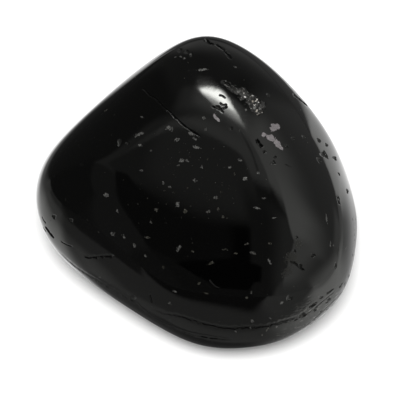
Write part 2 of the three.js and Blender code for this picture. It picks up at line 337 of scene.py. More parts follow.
wornRim = {  # the low right rim: fine streaks along it, with small pits and pale scuffs among them
    "bearings": (-64, -8),
    "rises": (-28, 2.5),
    "fade": (14, 4.5),  # degrees over which the wear fades out, along and up
    "grain": 0.22,  # mm across a streak
    "stretch": 3,
    "height": 0.055,
    "scuffed": (0.54, 0.72),  # how high a streak stands where it starts to be scuffed, and where it is
    "pale": 0.24,  # how strongly the high streaks are scuffed
    "color": (0.3, 0.29, 0.275),
    "climb": (-10, 10, 4),  # the rise of its line at the left, how far that climbs, and the scatter
    "turn": 12,  # scatter of the pits' and scuffs' turn
    "pits": 60,
    "pitSize": (0.12, 0.4),
    "pitShape": (0.3, 0.6),  # width as a share of the length
    "pitDepth": 0.25,  # depth as a share of the length
    "scuffs": 150,
    "scuffSize": (0.08, 0.5),
    "scuffWidth": (0.05, 0.15),
    "scuffTone": (0.05, 0.3),
    "seed": 5,
}

paleChips = {  # bearing, rise, length, width, turn
    "upperChip": (13.5, 48, 1.2, 0.74, -50),
    "smallChip": (6.5, 54, 0.48, 0.46, 0),
    "joinChip": (4.5, 51.5, 0.66, 0.5, -45),
    "middleChip": (3.5, 50, 0.78, 0.66, 70),
    "lowerChip": (0, 47.5, 0.98, 0.62, 60),
    "lowestChip": (-3, 45.5, 0.49, 0.38, 65),
    "crownChip": (50, 74, 1.0, 0.28, -60),
}

chipCut = {
    "depth": 0.02,
    "edge": 4,  # how sharply it begins
    "mottled": 1.6,  # how far out the mottle may reach, in half widths
}

finerCuts = {
    "margins": (0.5, 0.2, 0.07),  # how far past the damage each round of cuts goes
    "lowPits": -13,  # pits below this rise miss the last round
    "farPits": (40, 178),  # and so do the ones between these bearings
}


def wornPlace(rng):  # somewhere on the worn rim, which climbs to the right
    along = rng.random()
    left, right = wornRim["bearings"]
    start, climb, scatter = wornRim["climb"]
    return left + along * (right - left), start + climb * along + rng.normal() * scatter


def allPits():
    rng = np.random.default_rng(wornRim["seed"])
    made = list(pits.values())
    for _ in range(wornRim["pits"]):
        length = rng.uniform(*wornRim["pitSize"])
        place = wornPlace(rng)
        width = length * rng.uniform(*wornRim["pitShape"])
        made.append((*place, length, width, rng.normal() * wornRim["turn"], wornRim["pitDepth"] * length))
    return made


def smoothPath(points, step):  # a soft line through the points, with a point about every step
    padded = np.vstack([2 * points[0] - points[1], points, 2 * points[-1] - points[-2]])
    line = []
    for i in range(len(points) - 1):
        a, b, c, d = padded[i:i + 4]
        once, twice, thrice = c - a, 2 * a - 5 * b + 4 * c - d, 3 * b - a - 3 * c + d
        for t in np.linspace(0, 1, max(2, int(np.linalg.norm(c - b) / step)), endpoint=False):
            line.append(0.5 * (2 * b + once * t + twice * t * t + thrice * t ** 3))
    return np.array(line + [points[-1]])


def crackLine(path):
    bearings, rises = np.array(path, float).T
    return smoothPath(skinPoint(bearings, rises), crackCut["step"] * mm)


def hollowRadii(count):  # the torn hollow's half width at so many even places along it
    widths = tornHollow["width"]
    return np.interp(np.linspace(0, 1, count), np.linspace(0, 1, len(widths)), widths) / 2 * mm


def spotsToCut(cutRound):  # the places that this round makes finer, each with its radius
    ovals = [chip[:4] for chip in paleChips.values()]
    first, last = finerCuts["farPits"]
    for bearing, rise, length, width, *_ in allPits():
        hidden = rise <= finerCuts["lowPits"] or first < bearing < last
        if cutRound < len(finerCuts["margins"]) or not hidden:
            ovals.append((bearing, rise, length, width))
    spots = [(skinPoint(bearing, rise), max(sides) / 2 * mm) for bearing, rise, *sides in ovals]
    for width, _, _, rounds, path in cracks.values():
        if rounds >= cutRound:
            spots += [(point, width / 2 * mm) for point in crackLine(path)[::2]]
    line = crackLine(tornHollow["path"])[::2]
    return spots + list(zip(line, hollowRadii(len(line))))


def cutNear(stone, cutRound, margin):
    mesh = stone.data
    middles = faceMiddles(mesh)
    chosen = np.zeros(len(middles), bool)
    for point, radius in spotsToCut(cutRound):
        chosen[nearTo(middles, point, radius + margin * mm)] = True
    mesh.vertices.foreach_set("select", np.zeros(len(mesh.vertices), bool))
    mesh.edges.foreach_set("select", np.zeros(len(mesh.edges), bool))
    mesh.polygons.foreach_set("select", chosen)
    bpy.ops.object.mode_set(mode="EDIT")
    bpy.ops.mesh.select_mode(type="FACE")
    bpy.ops.mesh.subdivide(number_cuts=1, ngon=False)
    bpy.ops.object.mode_set(mode="OBJECT")
    drawToSkin(stone, meshPoints(stone) - heart)


def onSpot(points, bearing, rise, length, width, turn):  # the points near a spot, and where they lie on it
    centre = skinPoint(bearing, rise)
    near = nearTo(points, centre, max(length, width) * mm)
    along, across, _ = skinAxes(bearing, rise, turn)
    offset = points[near] - centre
    return near, offset @ along / (length / 2 * mm), offset @ across / (width / 2 * mm)


def deepen(values, near, more):
    values[near] = np.maximum(values[near], more)


def markPale(points, sink, pale):
    for chip in paleChips.values():
        near, along, across = onSpot(points, *chip)
        ring = np.hypot(along, across)
        deepen(pale, near, np.clip(chipCut["mottled"] - ring, 0, 1))
        deepen(sink, near, chipCut["depth"] * mm * np.clip((1 - ring) * chipCut["edge"], 0, 1))


def carvePits(points, sink, broken):
    (sway, swaySize), (dullEnd, dullEdge) = pitCut["rim"], pitCut["dull"]
    rubble, rubbleSize, rubbleSeed = pitCut["rubble"]
    for number, (*spot, depth) in enumerate(allPits()):
        near, along, across = onSpot(points, *spot)
        angle = np.arctan2(across, along)
        ripple = 1
        for swing, times, start in pitCut["lobes"]:
            ripple = ripple + swing * np.sin(times * angle + start * number)
        ring = np.hypot(along, across) / ripple + sway * noiseAt(points[near], swaySize, number)
        bowl = np.clip(1 - np.maximum(ring, 0) ** 3, 0, 1)
        lumps = 1 + rubble * noiseAt(points[near], rubbleSize, rubbleSeed + number)
        deepen(sink, near, depth * mm * bowl * lumps)
        dull = min(1, depth / pitCut["dullDepth"])
        deepen(broken, near, np.clip((dullEnd - ring) * dullEdge, 0, 1) * dull)


def carveCracks(points, sink):
    wander, wanderSize = crackCut["wander"]
    splinter, splinterSize, splinterSeed = crackCut["splinter"]
    for number, (width, depth, ragged, _, path) in enumerate(cracks.values()):
        line = crackLine(path)
        tree = treeOf(line)
        half = width / 2 * mm
        reach = crackCut["reach"] * half
        near = nearTo(points, line.mean(0), np.linalg.norm(line - line.mean(0), axis=1).max() + reach)
        found = [tree.find(Vector(p)) for p in points[near]]
        gap = np.array([f[2] for f in found])
        place = np.array([f[1] for f in found]) / (len(line) - 1)
        close = gap < reach
        near, gap, place = near[close], gap[close], place[close]
        taper = np.clip(4 * place * (1 - place) * crackCut["opening"], 0, 1) ** 0.5
        sway = noiseAt(points[near], wanderSize, number) * ragged
        fine = noiseAt(points[near], splinterSize, splinterSeed + number) * ragged
        opened = crackCut["endWidth"] + (1 - crackCut["endWidth"]) * taper
        share = gap / (half * opened * (1 + wander * sway)) + splinter * fine
        groove = np.clip(1 - np.maximum(share, 0) ** 2, 0, 1) * taper
        deepen(sink, near, depth * mm * groove)


def carveHollow(points, sink, broken, hollowDepthAndPaintedGlint):
    line = crackLine(tornHollow["path"])
    near = nearTo(points, line.mean(0), tornHollow["reach"] * mm)
    gaps = np.linalg.norm(points[near][:, None] - line[None, ::3], axis=2)  # a third of the line will do
    gaps = gaps / hollowRadii(len(line))[None, ::3]
    place = gaps.argmin(1) / (gaps.shape[1] - 1)
    ring = gaps.min(1)
    for sway, size, seed in tornHollow["wander"]:
        ring = ring + sway * noiseAt(points[near], size, seed)
    inside = ring < 1
    near, ring, place = near[inside], ring[inside], place[inside]
    grain = tornHollow["grain"] * mm
    leanSeed, standSeed = tornHollow["seeds"]
    lean = []
    for p in points[near]:
        cell = noise.voronoi(Vector(p) / grain)[1][0]
        spin = noise.cell_vector(cell * leanSeed) - Vector((0.5, 0.5, 0.5))
        stand = (noise.cell(cell * standSeed) - 0.5) * tornHollow["stagger"]
        lean.append((Vector(p) / grain - cell).dot(spin) * tornHollow["tilt"] + stand)
    floorStart, facetStart = tornHollow["shallow"]
    dulling, dullLeast = tornHollow["dull"]
    floorEdge, facetEdge, dullEdge = (np.clip((1 - ring) * edge, 0, 1) for edge in tornHollow["edges"])
    floor = floorEdge * tornHollow["depth"] * mm * (floorStart + (1 - floorStart) * place)
    facets = np.array(lean) * grain * facetEdge * (facetStart + (1 - facetStart) * place)
    deepen(sink, near, floor + facets)
    deepen(broken, near, dullEdge * np.clip(dulling * place, dullLeast, 1))
    # how deep into the torn hollow: this places its crystals' colour and the painted highlights
    hollowDepthAndPaintedGlint[near] = facetEdge * place


def wornShare(directions):
    bearings = np.degrees(np.arctan2(directions[:, 1], directions[:, 0]))
    rises = np.degrees(np.arcsin(directions[:, 2]))
    worn = np.ones(len(directions))
    for angles, name, fade in zip((bearings, rises), ("bearings", "rises"), wornRim["fade"]):
        low, high = wornRim[name]
        worn *= np.clip((angles - low) / fade, 0, 1) * np.clip((high - angles) / fade, 0, 1)
    return worn


def carveDamage(stone):
    directions = drawToSkin(stone, meshPoints(stone) - heart)
    points = meshPoints(stone)
    sink, broken, hollowDepthAndPaintedGlint, pale = (np.zeros(len(points)) for _ in range(4))
    markPale(points, sink, pale)
    carvePits(points, sink, broken)
    carveCracks(points, sink)
    carveHollow(points, sink, broken, hollowDepthAndPaintedGlint)
    points = points - skinFacing(directions) * sink[:, None]
    points[:, 2] = np.maximum(points[:, 2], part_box("stone")[0].z)  # the flat patch that it rests on
    setPoints(stone, points)
    marks = {"broken": broken, "hollowDepthAndPaintedGlint": hollowDepthAndPaintedGlint, "pale": pale, "worn": wornShare(directions)}
    for name, values in marks.items():
        mark = stone.data.attributes.new(name, "FLOAT", "POINT")
        mark.data.foreach_set("value", values.astype(np.float32))


# Flecks in the polish: grey where the tone is high, and a little ochre where it is low. The brightest few, at
# the torn hollow's deep end, are painted highlights.

flecks = [  # bearing, rise, length, width, turn, tone
    (-152, 32.5, 0.5, 0.4, 55, 0.5), (-141.5, 30.5, 0.4, 0.2, -45, 0.45), (173.5, 57, 0.9, 0.32, 40, 0.45),
    (-175.5, 57, 0.32, 0.3, 15, 0.65), (-168, 61.5, 0.24, 0.2, 10, 0.3), (156.5, 58, 0.4, 0.2, 15, 0.3),
    (155, 38.5, 0.35, 0.3, 80, 0.25), (104, 50, 0.3, 0.2, -75, 0.35), (101, 50.5, 0.24, 0.2, -70, 0.35),
    (99, 51.5, 0.3, 0.25, -70, 0.4), (86.5, 56, 1.1, 0.24, -45, 0.45), (75, 77.5, 0.3, 0.3, -5, 0.4),
    (52, 82.5, 0.3, 0.26, 0, 0.35), (158, 72, 0.4, 0.5, 5, 0.5), (157.5, 74, 0.2, 0.4, 5, 0.3),
    (179.5, 77.5, 0.5, 0.4, 35, 0.5), (139.5, 84.5, 0.6, 0.3, -35, 0.55), (173, 88, 0.5, 0.24, -30, 0.45),
    (-103.5, 85, 0.8, 0.3, -10, 0.55), (-128, 73, 0.5, 0.3, 25, 0.45), (-118.5, 75, 0.3, 0.4, 65, 0.35),
    (-128, 69.5, 0.3, 0.2, 35, 0.3), (-152.5, 52, 0.4, 0.2, 10, 0.3), (-95, 63, 0.4, 0.3, -35, 0.4),
    (-129.5, 55, 0.2, 0.4, 5, 0.35), (-121, 55, 0.4, 0.24, -15, 0.35), (-108, 47, 0.4, 0.5, 5, 0.5),
    (-121.5, 40.5, 0.4, 0.3, 10, 0.25), (-100, 44, 0.34, 0.34, 5, 0.22), (-121, 34, 0.2, 0.4, 30, 0.28),
    (-137, 20, 0.5, 0.4, 10, 0.42), (-131, 22, 0.26, 0.4, 55, 0.4), (-124, 21, 0.3, 0.4, 30, 0.42),
    (-116.5, 19, 0.4, 0.3, 25, 0.38), (-106.5, 17, 0.2, 0.2, 20, 0.22), (-100, 8, 0.4, 0.2, 0, 0.42),
    (-100.5, 26.5, 0.4, 0.6, -15, 0.36), (-119, 27, 0.5, 0.2, 20, 0.25), (-83.5, 22, 0.7, 0.2, 40, 0.2),
    (-86.5, 9.5, 0.4, 0.16, -10, 0.22), (-89.5, 13.5, 0.3, 0.3, 10, 0.22), (-71, 8, 0.26, 0.36, -35, 0.22),
    (-69, 10, 0.2, 0.3, -5, 0.28), (-63.5, 23.5, 0.6, 0.3, -15, 0.28), (-64.5, 27, 0.4, 0.2, 10, 0.25),
    (-58.5, 19.5, 0.22, 0.55, 20, 0.4), (-54.5, 24.5, 0.4, 0.2, -10, 0.18), (-71, 24.5, 0.3, 0.2, 0, 0.22),
    (-75.5, 26.5, 0.5, 0.2, 5, 0.15), (-93, 26, 0.4, 0.2, 10, 0.2), (-45, 31.5, 0.35, 0.16, -5, 0.4),
    (-49, 38.5, 0.6, 0.2, -20, 0.45), (-41, 40, 0.4, 0.2, -10, 0.3), (-39.5, 53, 0.4, 0.35, -40, 0.6),
    (-28.5, 50, 0.3, 0.2, -10, 0.35), (-41.5, 63.5, 0.3, 0.3, 0, 0.65), (-82, 72, 0.25, 0.3, 5, 0.45),
    (-26.5, 62, 0.4, 0.3, -25, 0.5), (-43.5, 58.5, 0.2, 0.3, 0, 0.25), (-73, 51, 0.3, 0.4, -45, 0.35),
    (-66, 53.5, 0.2, 0.2, 5, 0.2), (-81.5, 44, 0.4, 0.3, 5, 0.28), (-73.5, 44.5, 0.2, 0.3, 5, 0.25),
    (-72, 40, 0.26, 0.35, -30, 0.25), (-59.5, 4, 0.3, 0.4, -45, 0.45), (-33.5, 13, 0.18, 0.5, -60, 0.35),
    (-33, 12, 0.24, 0.2, -45, 0.3), (-27, 18.5, 0.18, 0.9, -50, 0.4), (-70.5, -1.5, 0.3, 0.46, -5, 0.3),
    (-66, -5, 0.18, 0.7, -30, 0.25), (-101.5, 2, 0.3, 0.3, 50, 0.28), (-135, -3, 0.24, 0.24, 40, 0.3),
    (66, 48, 0.4, 0.24, 55, 0.38), (64, 58, 0.9, 0.12, 75, 0.6), (52, 56.5, 1.3, 0.2, 50, 0.45),
    (-50, 17.5, 1.4, 1.2, -25, 0.05), (-54, 14, 1.2, 0.8, 10, 0.04), (-44, 20, 0.9, 0.9, -30, 0.04),
    (-76.5, -5.5, 0.2, 0.25, 0, 0.3), (-71.5, -4, 0.2, 0.24, 0, 0.35), (-64.5, -1, 0.2, 0.23, -10, 0.3),
    # the list's last four flecks, from bearing 33.5, are painted highlights: bright spots in the torn hollow
    # that stand in for facets mirroring the lamp
    (-63, -4.5, 0.2, 0.25, -10, 0.35), (-68, -7, 0.2, 0.26, -5, 0.25), (33.5, 54.5, 0.32, 0.3, -70, 1.4),
    (38, 55.5, 0.3, 0.2, -70, 0.9), (31, 52.5, 0.22, 0.24, -75, 1.0), (34, 59.5, 0.2, 0.22, -55, 0.7),
]

fineFlecks = {
    "seed": 11,
    "crown": (-105, 66, 20.4, 80),  # bearing and rise of the middle, spread in degrees, how many
    "allOver": 120,
    "lowest": -0.6,  # sine of the rise below which there are none
    "size": (0.07, 0.16),
    "longer": (1, 1.6),  # length as a multiple of the size
    "tone": (0.02, 0.12),
}

fleckFit = {
    "rivals": 8,  # flecks that are weighed for each face
    "thickness": 0.5,  # how deep a fleck goes, so that it stays on its own side
}


def allFlecks():
    rng = np.random.default_rng(fineFlecks["seed"])
    made = list(flecks)
    bearing, rise, spread, count = fineFlecks["crown"]
    middle = directionOf(bearing, rise)
    dimmest, brightest = fineFlecks["tone"]
    while len(made) < len(flecks) + count + fineFlecks["allOver"]:
        direction = rng.normal(size=3)
        if len(made) < len(flecks) + count:
            direction = middle + direction * math.radians(spread)
        direction /= np.linalg.norm(direction)
        if direction[2] < fineFlecks["lowest"]:
            continue
        length, width = rng.uniform(*fineFlecks["size"], 2)
        tone = dimmest + (brightest - dimmest) * rng.random() ** 2
        place = math.degrees(math.atan2(direction[1], direction[0])), math.degrees(math.asin(direction[2]))
        made.append((*place, length * rng.uniform(*fineFlecks["longer"]), width, rng.uniform(-90, 90), tone))
    for _ in range(wornRim["scuffs"]):
        length = rng.uniform(*wornRim["scuffSize"])
        place = wornPlace(rng)
        width = rng.uniform(*wornRim["scuffWidth"])
        turn = rng.normal() * wornRim["turn"]
        made.append((*place, length, width, turn, rng.uniform(*wornRim["scuffTone"])))
    return made


def placeFlecks(stone):  # each face knows its nearest fleck, and each corner its place in that fleck
    made = np.array(allFlecks())
    centres = skinPoint(made[:, 0], made[:, 1])
    axes = np.array([skinAxes(*fleck[[0, 1, 4]]) for fleck in made])
    mesh = stone.data
    middles = faceMiddles(mesh)
    tree = treeOf(centres)
    around = np.array([[found[1] for found in tree.find_n(Vector(p), fleckFit["rivals"])] for p in middles])
    gaps = np.einsum("nkij,nkj->nki", axes[around], middles[:, None] - centres[around])[..., :2]
    reach = np.hypot(gaps[..., 0] / made[around, 2], gaps[..., 1] / made[around, 3])
    nearest = around[np.arange(len(around)), reach.argmin(1)]
    counts = np.empty(len(mesh.polygons), int)
    mesh.polygons.foreach_get("loop_total", counts)
    cornerPoint = np.empty(len(mesh.loops), int)
    mesh.loops.foreach_get("vertex_index", cornerPoint)
    chosen = np.repeat(nearest, counts)
    offset = meshPoints(stone)[cornerPoint] - centres[chosen]
    place = np.einsum("nij,nj->ni", axes[chosen], offset)
    place[:, 0] /= made[chosen, 2] / 2 * mm
    place[:, 1] /= made[chosen, 3] / 2 * mm
    place[:, 2] /= fleckFit["thickness"] * mm
    for name, kind, field, values in (
        ("fleckPlace", "FLOAT_VECTOR", "vector", place),
        ("fleckTone", "FLOAT", "value", made[chosen, 5]),
    ):
        mark = mesh.attributes.new(name, kind, "CORNER")
        mark.data.foreach_set(field, values.astype(np.float32).ravel())


# The finish: a high polish, with what shows in it and what has broken out of it.

polish = {
    "black": (0.0005, 0.0005, 0.0005),
    "ior": 1.63,
    "specularTint": (0.99, 1.0, 0.955),
    "roughness": 0.04,
    "smear": 0.03,  # how much duller the polish is in places
    "smearSize": 2.2,  # mm
    "smears": (0.3, 0.7),
    "ripple": (0.5, 0.001),  # size and height of the polish's own waves, mm
}

fleckLook = {
    "color": (0.135, 0.134, 0.127),
    "ochreColor": (0.12, 0.114, 0.088),
    "ochreTones": (0.22, 0.3),  # flecks below this tone are ochre, above it grey
    "ragged": (0.2, 3.0),  # mm between the rim's wanderings, and how far they go
    "rim": (1.05, 0.85),  # the rim, from none to all, in half widths
    "crumbSize": 0.11,  # mm
    "crumbs": (0.34, 0.58),
    "roughness": 0.55,
}

chipLook = {
    "color": (0.16, 0.147, 0.15),
    "tints": (0.55, 1.1),  # darkest and lightest mottle, as a share of the colour
    "mottleSize": 0.14,  # mm
    "mottle": (0.25, 0.75),
    "ragged": (0.35, 1.8),  # mm between the rim's wanderings, and how far they go
    "rim": (1.46, 1.54),
    "roughness": 0.5,
}

brokenLook = {
    "color": (0.006, 0.006, 0.0056),
    "edge": (0.2, 0.6),
    "roughness": 0.42,
    "hollowColors": ((0.001, 0.001, 0.001), (0.04, 0.039, 0.037)),
    "hollowEdge": (0.05, 0.5),
    # painted highlights: some crystals deep in the hollow get a bright colour, standing in for facets that
    # mirror the lamp
    "paintedGlintColors": ((0.19, 0.17, 0.14), (0.8, 0.78, 0.75)),
    "glintSize": 0.2,  # mm
    "paintedGlintCells": (0.86, 0.93),  # which crystals get a painted highlight, from 0, all of them, to 1, none
    "paintedGlintEdge": (0.35, 0.75),
}


def feed(tree, node, values):  # a value is another node's socket, a number or a colour
    for key, value in values.items() if isinstance(values, dict) else enumerate(values):
        socket = node.inputs[key]
        if isinstance(value, bpy.types.NodeSocket):
            tree.links.new(value, socket)
        elif socket.type == "RGBA":
            socket.default_value = (*value, 1)
        else:
            socket.default_value = value


def addNode(tree, kind, values=(), **settings):  # values by their sockets' names, or in their order
    node = tree.nodes.new(kind)
    for name, setting in settings.items():
        setattr(node, name, setting)
    feed(tree, node, values)
    return node


def addMaths(tree, kind, *values):
    return addNode(tree, "ShaderNodeMath", values, operation=kind).outputs[0]


def addVector(tree, kind, *values):
    node = addNode(tree, "ShaderNodeVectorMath", values, operation=kind)
    return node.outputs[1 if kind in ("LENGTH", "DOT_PRODUCT") else 0]


def addMix(tree, kind, mask, a, b):  # a where the mask is 0, and b where it is 1
    first, out = {"FLOAT": (2, 0), "RGBA": (6, 2)}[kind]
    return addNode(tree, "ShaderNodeMix", {0: mask, first: a, first + 1: b}, data_type=kind).outputs[out]


def addRamp(tree, value, limits):  # softly from 0 at the first limit to 1 at the second
    values = {"Value": value, "From Min": limits[0], "From Max": limits[1]}
    return addNode(tree, "ShaderNodeMapRange", values, interpolation_type="SMOOTHSTEP").outputs["Result"]


def addNoise(tree, vector, size, detail):
    return addNode(tree, "ShaderNodeTexNoise", {"Vector": vector, "Scale": 1 / (size * mm), "Detail": detail})


def addMark(tree, name):  # what the carving stored on the stone
    return addNode(tree, "ShaderNodeAttribute", attribute_name=name).outputs


def layOut(tree):  # every node stands to the left of the nodes that it feeds
    columns = dict.fromkeys(tree.nodes.keys(), 0)
    for _ in columns:
        for link in tree.links:
            columns[link.from_node.name] = max(columns[link.from_node.name], columns[link.to_node.name] + 1)
    filled = {}
    for name, column in columns.items():
        filled[column] = filled.get(column, 0) + 1
        tree.nodes[name].location = (-220 * column, -260 * filled[column])


def showFlecks(tree, grain):  # where the flecks are, the same by their tone, and their tint
    raggedSize, bend = fleckLook["ragged"]
    tone = addMark(tree, "fleckTone")["Fac"]
    wander = addNoise(tree, grain, raggedSize, 3).outputs["Color"]
    shift = addVector(tree, "SUBTRACT", wander, (0.5, 0.5, 0.5))
    own = addMark(tree, "fleckPlace")["Vector"]
    bent = addVector(tree, "MULTIPLY_ADD", shift, (bend, bend, 0), own)
    ring = addVector(tree, "LENGTH", bent)
    fleck = addRamp(tree, ring, fleckLook["rim"])
    crumbs = addNoise(tree, grain, fleckLook["crumbSize"], 3).outputs["Fac"]
    crumbled = addRamp(tree, crumbs, fleckLook["crumbs"])
    mask = addMaths(tree, "MULTIPLY", fleck, crumbled)
    grey = addRamp(tree, tone, fleckLook["ochreTones"])
    tint = addMix(tree, "RGBA", grey, fleckLook["ochreColor"], fleckLook["color"])
    return mask, addMaths(tree, "MULTIPLY", mask, tone), tint


def showChips(tree, grain):
    raggedSize, bend = chipLook["ragged"]
    wander = addNoise(tree, grain, raggedSize, 4).outputs["Fac"]
    field = addMaths(tree, "MULTIPLY_ADD", wander, bend, addMark(tree, "pale")["Fac"])
    mottle = addNoise(tree, grain, chipLook["mottleSize"], 3).outputs["Fac"]
    tints = [tuple(share * part for part in chipLook["color"]) for share in chipLook["tints"]]
    mottled = addRamp(tree, mottle, chipLook["mottle"])
    tint = addMix(tree, "RGBA", mottled, *tints)
    return addRamp(tree, field, chipLook["rim"]), tint


def showHollow(tree, grain):  # the crystals of the torn hollow, and painted highlights on some of them that stand in for facets mirroring the lamp
    depth = addMark(tree, "hollowDepthAndPaintedGlint")["Fac"]
    scale = 1 / (brokenLook["glintSize"] * mm)
    cells = addNode(tree, "ShaderNodeTexVoronoi", {"Vector": grain, "Scale": scale})
    paintedGlint, shade, darkness = addNode(tree, "ShaderNodeSeparateColor", [cells.outputs["Color"]]).outputs
    inside = addRamp(tree, depth, brokenLook["hollowEdge"])
    paintedGlintChoice = addRamp(tree, paintedGlint, brokenLook["paintedGlintCells"])
    deep = addRamp(tree, depth, brokenLook["paintedGlintEdge"])
    # painted highlights: bright crystals deep in the torn hollow
    paintedGlintMask = addMaths(tree, "MULTIPLY", paintedGlintChoice, deep)
    crystal = addMix(tree, "RGBA", darkness, *brokenLook["hollowColors"])
    return inside, crystal, paintedGlintMask, addMix(tree, "RGBA", shade, *brokenLook["paintedGlintColors"])


def polishedTourmaline():
    material = bpy.data.materials.new("polishedTourmaline")
    material.use_nodes = True
    tree = material.node_tree
    tree.nodes.clear()
    grain = addNode(tree, "ShaderNodeTexCoord").outputs["Object"]
    fleck, fleckShare, fleckTint = showFlecks(tree, grain)
    chip, chipTint = showChips(tree, grain)
    broken = addRamp(tree, addMark(tree, "broken")["Fac"], brokenLook["edge"])
    inHollow, crystal, paintedGlintMask, paintedGlint = showHollow(tree, grain)

    # the worn rim's streaks run level, so their grain is read flattened
    shrink = 1 / wornRim["stretch"]
    flat = addVector(tree, "MULTIPLY", grain, (shrink, shrink, 1))
    streaks = addNoise(tree, flat, wornRim["grain"], 3).outputs["Fac"]
    worn = addMark(tree, "worn")["Fac"]
    high = addRamp(tree, streaks, wornRim["scuffed"])
    scuffed = addMaths(tree, "MULTIPLY", high, worn)
    scuffed = addMaths(tree, "MULTIPLY", scuffed, wornRim["pale"])

    color = polish["black"]
    # the third layer is painted light: bright crystals in the torn hollow stand in for facets that mirror the
    # lamp
    for mask, over in (
        (broken, brokenLook["color"]), (inHollow, crystal), (paintedGlintMask, paintedGlint),
        (chip, chipTint), (fleckShare, fleckTint), (scuffed, wornRim["color"]),
    ):
        color = addMix(tree, "RGBA", mask, color, over)

    smear = addNoise(tree, grain, polish["smearSize"], 3).outputs["Fac"]
    smear = addRamp(tree, smear, polish["smears"])
    rough = addMaths(tree, "MULTIPLY_ADD", smear, polish["smear"], polish["roughness"])
    for mask, look in ((broken, brokenLook), (chip, chipLook), (fleck, fleckLook)):
        rough = addMix(tree, "FLOAT", mask, rough, look["roughness"])

    rippleSize, rippleHeight = polish["ripple"]
    ripple = addNoise(tree, grain, rippleSize, 2).outputs["Fac"]
    ridges = addMaths(tree, "MULTIPLY", streaks, worn)
    ridges = addMaths(tree, "MULTIPLY", ridges, wornRim["height"])
    relief = addMaths(tree, "MULTIPLY_ADD", ripple, rippleHeight, ridges)
    bump = addNode(tree, "ShaderNodeBump", {"Strength": 1.0, "Distance": mm, "Height": relief})

    shader = addNode(tree, "ShaderNodeBsdfPrincipled", {
        "Base Color": color,
        "Roughness": rough,
        "IOR": polish["ior"],
        "Specular Tint": polish["specularTint"],
        "Normal": bump.outputs["Normal"],
    })
    addNode(tree, "ShaderNodeOutputMaterial", {"Surface": shader.outputs["BSDF"]})
    layOut(tree)
    return material


def makeStone():
    stone = startBlock()
    tumbleBlock(stone)
    print("block tumbled:", len(stone.data.polygons), "faces")
    for cutRound, margin in enumerate(finerCuts["margins"], 1):
        cutNear(stone, cutRound, margin)
    print("cut finer near the damage:", len(stone.data.polygons), "faces")
    carveDamage(stone)
    placeFlecks(stone)
    stone.data.polygons.foreach_set("use_smooth", np.ones(len(stone.data.polygons), bool))
    stone.data.materials.append(polishedTourmaline())
    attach(stone, "root")
    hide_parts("stone")
    print("stone carved:", sum(len(p.vertices) - 2 for p in stone.data.polygons), "triangles")


makeStone()


# The stage: floor, light and camera. The polish mirrors soft panels, which are laid out on two plans: as
# light in the sky, and as painted light and shade in the floor's colour, which only the polish sees.

floorLook = {
    "size": 3.0,  # m
    "color": (0.9, 0.9, 0.895),
    "roughness": 0.9,
    "lightOnFloor": 1.36,  # how brightly the studio lights it
    "open": 1.35,  # what the polish mirrors where there is no panel
    "panels": {  # painted light and shade for the polish: how bright, corners in mm from the origin, softness of each side in mm
        "farRight": (0.8, [(420, 420), (80, -170), (4000, -6000), (4000, 4000)], [170, 60, 60, 60]),
        "sideRight": (0.48, [(13, 6), (13, -7), (75, -4), (75, 26)], [5, 24, 16, 11]),
        "sideRightFar": (0.48, [(70, 30), (70, 0), (4000, 600), (4000, 2000)], [16, 56, 60, 14]),
        "frontRight": (0.26, [(22, -34), (2600, -2500), (400, -4000), (0, -60)], [26, 60, 14, 20]),
        "left": (0.41, [(-52, 60), (-52, -60), (-500, -300), (-500, 200)], [54, 20, 20, 20]),
        "farLeft": (0.17, [(-150, 160), (-150, -160), (-5000, -3000), (-5000, 2000)], [140, 40, 40, 40]),
        "backLeftNear": (0.3, [(-14, 27), (-29, 8), (-400, -20), (-200, 400)], [8, 18, 40, 10]),
        "backLeft": (0.055, [(-20, 30), (-40, 20), (-3000, 700), (-1000, 3000)], [12, 24, 20, 8]),
        "back": (0.21, [(-24, 52), (-1000, 3000), (2960, 3000), (30, 40)], [12, 30, 9, 14]),
        "front": (0.18, [(-9, -4), (13.5, -13), (71, -400), (-930, -408)], [4, 20, 30, 7]),
        "frontSide": (0.37, [(-19, -10), (-19, -17), (-50, -32), (-56, -26)], [5, 8, 34, 6]),
        "frontNear": (0.27, [(-22, -16), (-18, -34), (12, -38), (9, -17)], [8, 10, 8, 6]),
        "frontUnder": (0.1, [(-14, -6), (-9, -20), (6, -20), (9, -8)], [5, 4, 5, 5]),
        "farFront": (0.03, [(14, -92), (1150, -4000), (-4000, -3000), (-160, -180)], [14, 60, 60, 40]),
        "farFrontLeft": (0.06, [(-131, -64), (-112, -102), (-3800, -3250), (-4000, -1500)], [16, 16, 60, 30]),
    },
}

